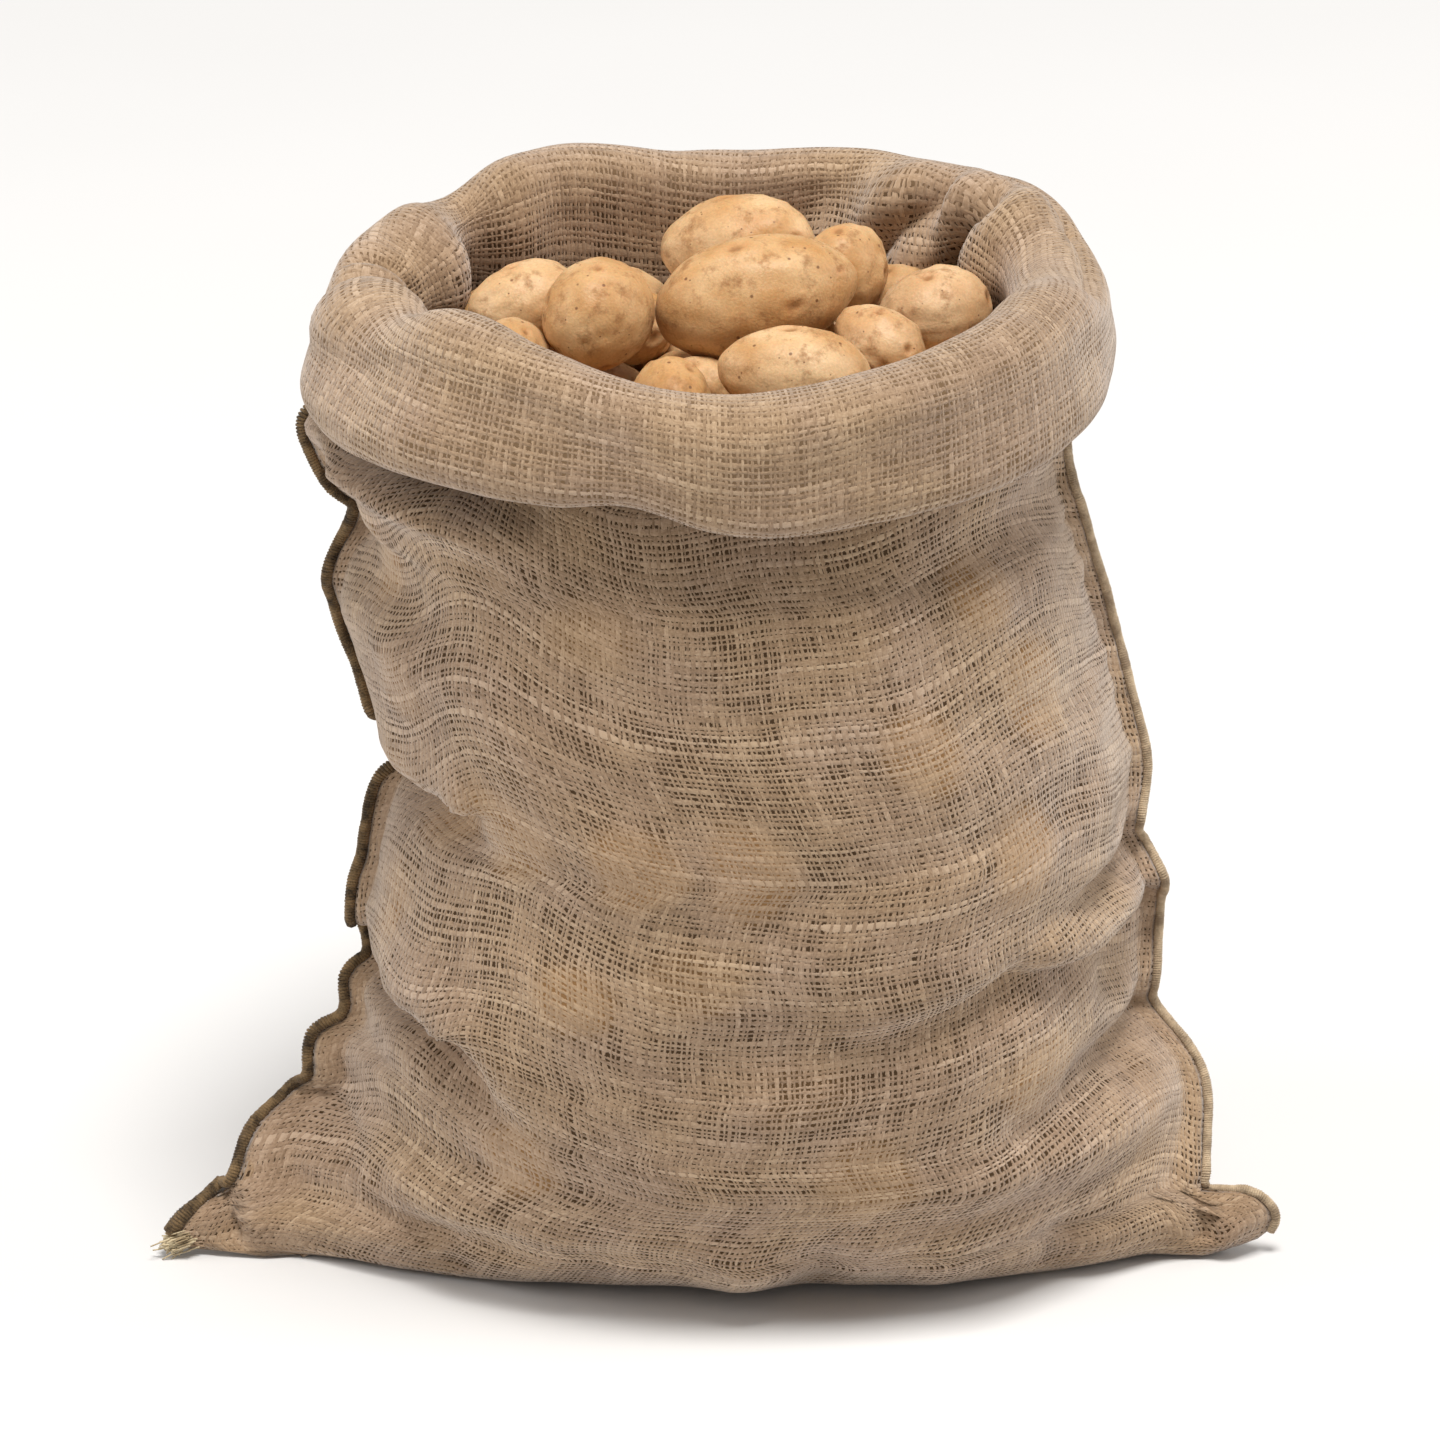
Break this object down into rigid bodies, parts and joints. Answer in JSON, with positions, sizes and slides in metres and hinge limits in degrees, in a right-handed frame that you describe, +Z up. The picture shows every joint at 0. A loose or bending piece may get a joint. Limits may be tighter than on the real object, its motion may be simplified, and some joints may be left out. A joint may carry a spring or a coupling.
{
  "type": "hessian sack of potatoes",
  "caption": "Open-weave hessian sack standing full of potatoes, its mouth rolled down into a thick cuff, its sides overlocked and its bottom corners drawn out.",
  "frame": {"origin": "on the floor under the middle of the filled sack, on the flat underside", "axes": "+Z up; +X from the left seam to the right seam as seen from the front; +Y towards the back"},
  "size_m": [0.4906, 0.2837, 0.4567],
  "materials": {
    "hessian": "coarse open plain weave of jute, matt",
    "overlock_thread": "thick looped thread, matt",
    "potato_skin": "washed yellow potato skin, low sheen"
  },
  "bodies": {
    "root": {"sack_cloth": "hessian", "seam_left": "overlock_thread", "seam_right": "overlock_thread", "potato_heap": "potato_skin", "potato_large": "potato_skin", "potato_top": "potato_skin", "potato_knob": "potato_skin", "potato_left": "potato_skin", "potato_round": "potato_skin", "potato_low_left": "potato_skin", "potato_low_centre": "potato_skin", "potato_front": "potato_skin", "potato_small": "potato_skin", "potato_right": "potato_skin", "potato_back": "potato_skin", "potato_centre": "potato_skin", "potato_mid_front": "potato_skin", "potato_front_left": "potato_skin", "potato_front_right": "potato_skin", "potato_back_right": "potato_skin", "potato_back_left": "potato_skin"}
  },
  "joints": []
}
